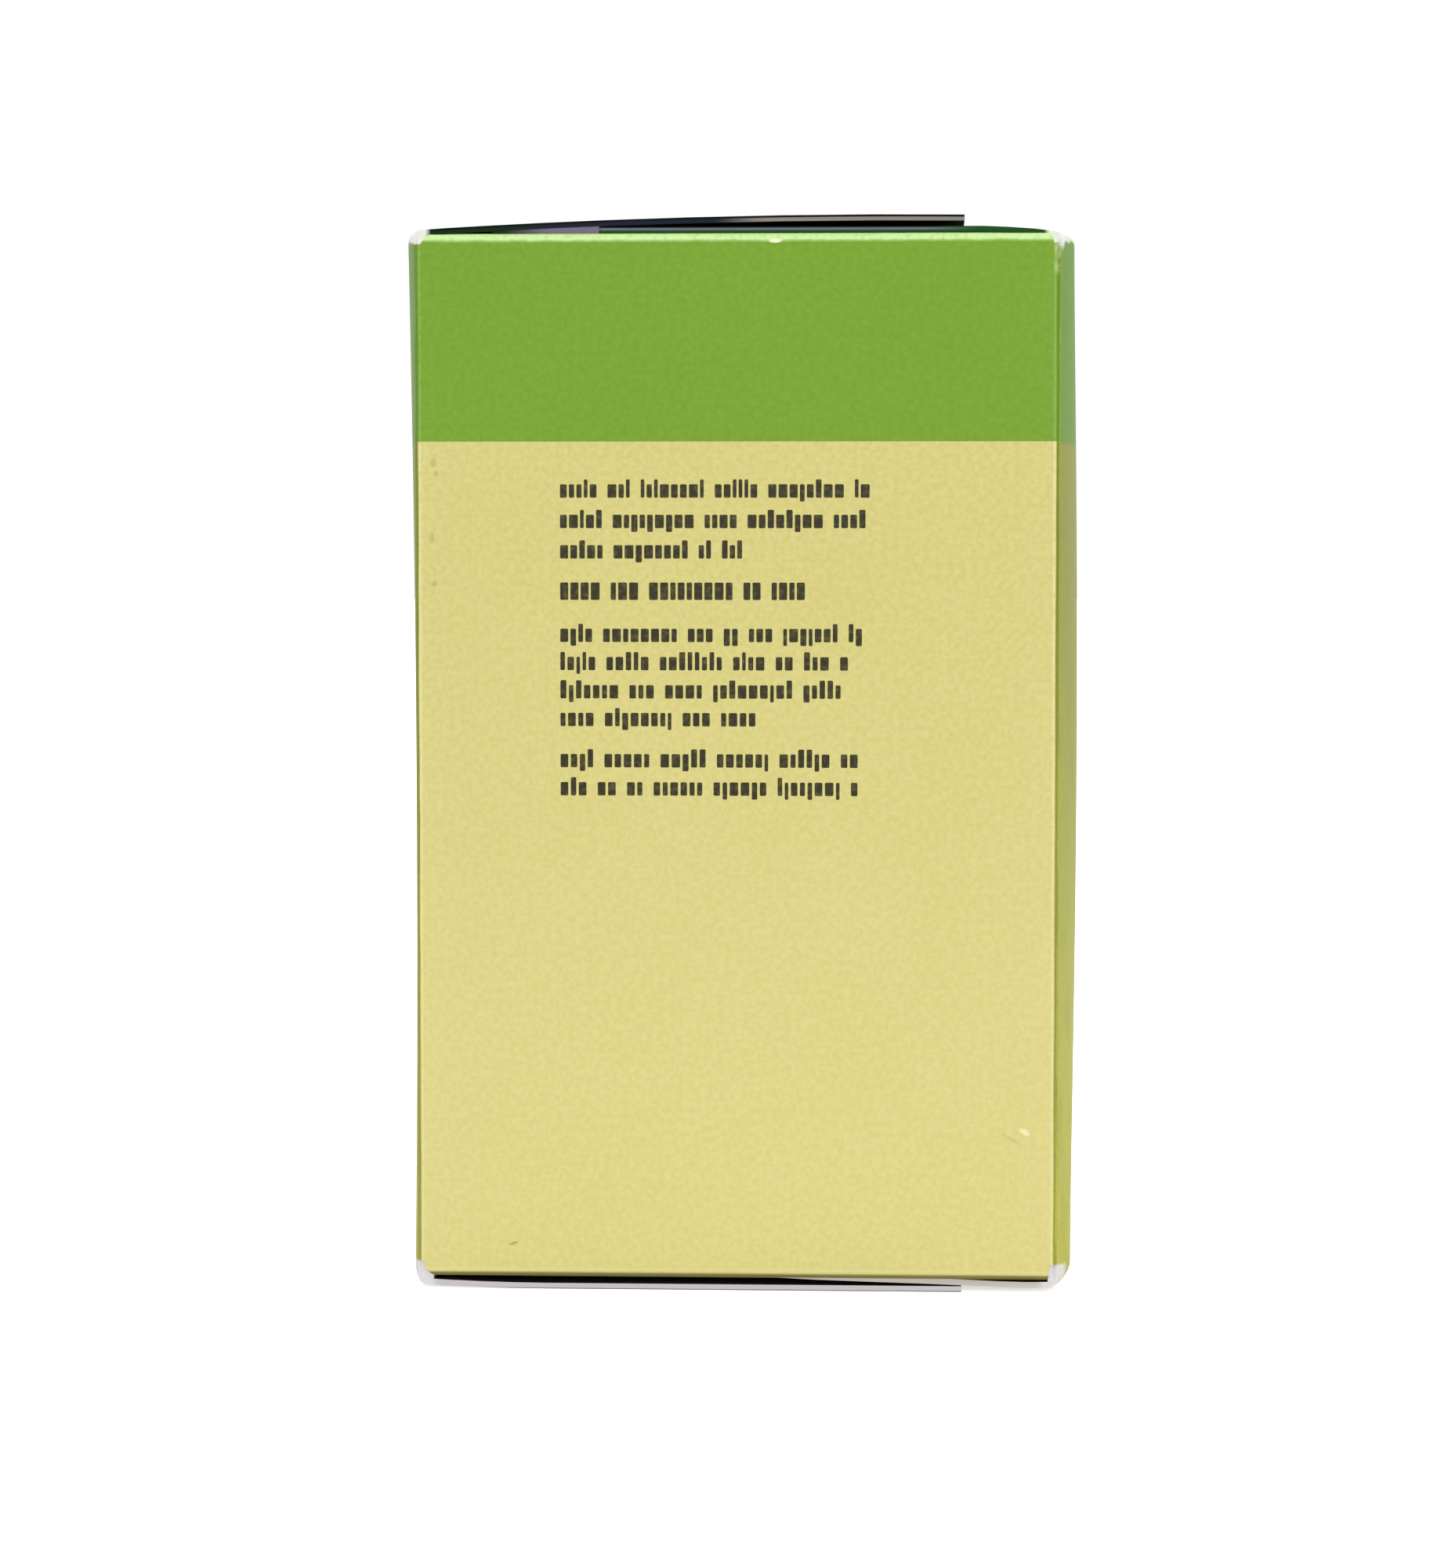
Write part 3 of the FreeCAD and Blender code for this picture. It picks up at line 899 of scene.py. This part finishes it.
dust = {
    "radius": 1.2,
    "topPlane": 126.0,
    "basePlane": 1.5,
    "taper": 0.9965,  # how much each step of the fold narrows
    "taperFrom": 24.0,  # place in x that stays put, so that the further end draws in more
    # runs into the box: length, fall and how much each narrows
    "runs": ((2.0, 0.25, 0.97), (20.0, 1.2, 0.9)),
}
for side in (-1, 1):
    for up in (1, -1):
        z = high if up > 0 else low
        plane = dust["topPlane"] if up > 0 else dust["basePlane"]
        print("dust flap edges", pick(board, "edges", narrowSide(side, z)))
        foldBy(
            side, 1, up, plane - up * dust["radius"], z, dust["radius"],
            narrowing=dust["taper"], about=-side * dust["taperFrom"],
        )
        for run, fall, narrowing in dust["runs"]:
            extrudeBy(0, -side * run, -up * fall)
            bpy.ops.transform.resize(value=(narrowing, 1, 1))
bpy.ops.mesh.select_all(action="SELECT")
bpy.ops.mesh.remove_doubles(threshold=carton["weld"] * mm)
bpy.ops.mesh.normals_make_consistent(inside=False)
closePiece()
applyModifier(
    board, "SOLIDIFY", thickness=carton["board"] * mm, offset=-1, use_even_offset=True,
    material_offset=3, material_offset_rim=6,
)
bpy.ops.object.shade_smooth_by_angle(angle=math.radians(carton["smoothAngle"]))
print("carton folded:", len(board.data.polygons), "faces")

# the printed lines

printed = {
    "left": -20.9,
    "front": -50.8,
    "ink": 0.03,
    "corner": 0.13,
    "cornerSteps": 2,
    "seed": 7,
    # height of the line's middle, its length, how heavy, and whether all tall
    "lines": [
        (95.8, 37.6, 1.0, False),
        (92.2, 37.4, 1.0, False),
        (88.6, 22.7, 1.0, False),
        (83.7, 31.1, 1.0, True),
        (78.7, 36.3, 0.9, False),
        (75.35, 35.0, 0.72, False),
        (72.0, 34.1, 0.72, False),
        (68.7, 23.6, 0.72, False),
        (63.8, 35.6, 0.75, False),
        (60.45, 35.6, 0.72, False),
    ],
    "drop": 1.03,  # from a line's middle to its foot
    "margin": 0.8,
    "firstWord": (3, 8),
    "word": (2, 9),
    "space": 1.05,
    "widths": (0.62, 0.8, 0.95, 1.05),
    # a block's share of its width, with its rise by weight; heavier lines are set closer
    "widthShare": (0.85, 0.15),
    "gap": 0.2,
    "looser": 0.16,
    "heaviest": 1.4,
    "kinds": ("low", "low", "low", "low", "up", "down"),
    "tops": {"tall": 2.06, "up": 2.16, "low": 1.58, "down": 1.58},
    "tail": 0.45,
    "slim": 0.7,  # blocks that reach up or down are this much narrower
    "dark": "#2e2a0f",
    "thin": "#5c5526",
    "grain": {"Scale": 1400.0, "Detail": 3.0},
    "thinSpan": (0.45, 0.75),
    "roughness": 0.5,
    "specular": 0.35,
}
upright = (math.radians(90), 0, 0)
deselectAll()
draw = random.Random(printed["seed"])
bpy.ops.mesh.primitive_plane_add(size=1, location=(0, 0, 0), rotation=upright)
words = openPiece("greeked_print")
bpy.ops.mesh.delete(type="VERT")
for height, length, weight, tall in printed["lines"]:
    x, foot = 0.0, height - printed["drop"]
    letters = draw.randint(*printed["firstWord"])
    while x < length - printed["margin"]:
        if letters == 0:
            x += printed["space"]
            letters = draw.randint(*printed["word"])
            continue
        share, rise = printed["widthShare"]
        wide = draw.choice(printed["widths"]) * (share + rise * weight)
        kind = "tall" if tall else draw.choice(printed["kinds"])
        if kind in ("up", "down"):
            wide *= printed["slim"]
        top = printed["tops"][kind]
        tail = printed["tail"] if kind == "down" else 0.0
        acrossBlock = printed["left"] + x + wide / 2
        centre = metres((acrossBlock, printed["front"], foot + (top - tail) / 2))
        bpy.ops.mesh.primitive_plane_add(size=1, location=centre, rotation=upright)
        bpy.ops.transform.resize(
            value=(wide * mm, 1, (top + tail) * mm), center_override=(centre[0], 0, centre[2])
        )
        x += wide + printed["gap"] + printed["looser"] * (printed["heaviest"] - weight)
        letters -= 1
bpy.ops.mesh.select_all(action="SELECT")
bpy.ops.mesh.bevel(
    offset=printed["corner"] * mm, segments=printed["cornerSteps"], affect="VERTICES"
)
closePiece()
applyModifier(words, "SOLIDIFY", thickness=printed["ink"] * mm, offset=-1)

# offset ink, dark olive brown, thinned a little where the fibres show through
ink = bpy.data.materials.new("darkOffsetInk")
ink.use_nodes = True
tree = ink.node_tree
shader = tree.nodes["Principled BSDF"]
place = addNode(tree, "TexCoord").outputs["Object"]
grain = addNode(tree, "TexNoise", {"Vector": place, **printed["grain"]}).outputs["Fac"]
grain = fade(tree, grain, *printed["thinSpan"])
colour = blendIn(tree, grain, printed["dark"], printed["thin"])
tree.links.new(colour, shader.inputs["Base Color"])
shader.inputs["Roughness"].default_value = printed["roughness"]
shader.inputs["Specular IOR Level"].default_value = printed["specular"]
words.data.materials.append(ink)
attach(words, "root")
print("printed lines:", len(words.data.polygons), "faces")

# pulpy hinge corners

corners = {
    "outer": 37.85,
    "front": 50.06,
    "deep": 46.5,
    "chamfer": 0.3,
    "chamferSteps": 3,
    # side, inner face, lowest and highest point of each block
    "base": [(-1, 36.4, 1.1, 3.35), (1, 37.2, 1.3, 3.35)],
    "top": [(-1, 36.35, 124.75, 125.85), (1, 36.35, 124.75, 125.6)],
}


def facesMiddle(edge, end):
    # the block's long edge on the box's inner side, up at the base and down at the top
    spot = middle(edge)
    for side, inner, foot, head in corners[end]:
        beside = side * spot.x > 0 and abs(abs(spot.x) - inner) < slack["line"]
        level = head if end == "base" else foot
        if along(edge, 1) and beside and abs(spot.z - level) < slack["line"]:
            return True
    return False


for end, edgeBoard in (("base", paleEdge), ("top", shadedTopEdge)):
    deselectAll()
    bpy.ops.mesh.primitive_cube_add(size=1, location=(0, 0, 0))
    block = openPiece(end + "_hinge_corners")
    bpy.ops.mesh.delete(type="VERT")
    deep = corners["front"] - corners["deep"]
    for side, inner, foot, head in corners[end]:
        wide = corners["outer"] - inner
        acrossBlock = side * (inner + corners["outer"]) / 2
        for face in (-1, 1):
            centre = metres((acrossBlock, face * (corners["front"] - deep / 2), (foot + head) / 2))
            bpy.ops.mesh.primitive_cube_add(size=1, location=centre)
            bpy.ops.transform.resize(
                value=metres((wide, deep, head - foot)), center_override=centre
            )
    pick(block, "edges", lambda e: facesMiddle(e, end))
    bpy.ops.mesh.bevel(
        offset=corners["chamfer"] * mm, segments=corners["chamferSteps"], affect="EDGES"
    )
    bpy.ops.mesh.select_all(action="SELECT")
    bpy.ops.mesh.normals_make_consistent(inside=False)
    closePiece()
    block.data.materials.append(edgeBoard)
    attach(block, "root")
print("hinge corners are filled")

# a ply of the outer top flap's cut edge has come away and hangs down to the fold

ply = {
    "left": -29.0,
    "right": -16.15,
    "front": -49.97,
    "deep": 0.7,
    "foot": 125.95,
    "height": 0.5,  # before its top is fitted to the flap
    "overlap": 0.02,
    "columns": 6,
}
plyWidth = ply["right"] - ply["left"]


def onTop(vert, x):
    raised = vert.co.z / mm > ply["foot"] + ply["height"] / 2
    return raised and abs(vert.co.x / mm - x) < slack["exact"]


deselectAll()
bpy.ops.mesh.primitive_cube_add(size=1, location=(0, 0, 0))
hanging = openPiece("lifted_edge_ply")
bpy.ops.transform.resize(value=metres((plyWidth, ply["deep"], ply["height"])))
bpy.ops.transform.translate(value=metres((
    (ply["right"] + ply["left"]) / 2,
    ply["front"] + ply["deep"] / 2,
    ply["foot"] + ply["height"] / 2,
)))
pick(hanging, "edges", lambda e: along(e, 0))
bpy.ops.mesh.subdivide(number_cuts=ply["columns"] - 1)
for column in range(ply["columns"] + 1):
    x = ply["left"] + plyWidth * column / ply["columns"]
    pick(hanging, "verts", lambda v: onTop(v, x))
    lineUp(z=archAt(x) - carton["board"] + ply["overlap"])
closePiece()
hanging.data.materials.append(shadedTopEdge)
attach(hanging, "root")
print("lifted ply hangs under the outer flap")

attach(board, "root")
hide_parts("carton")
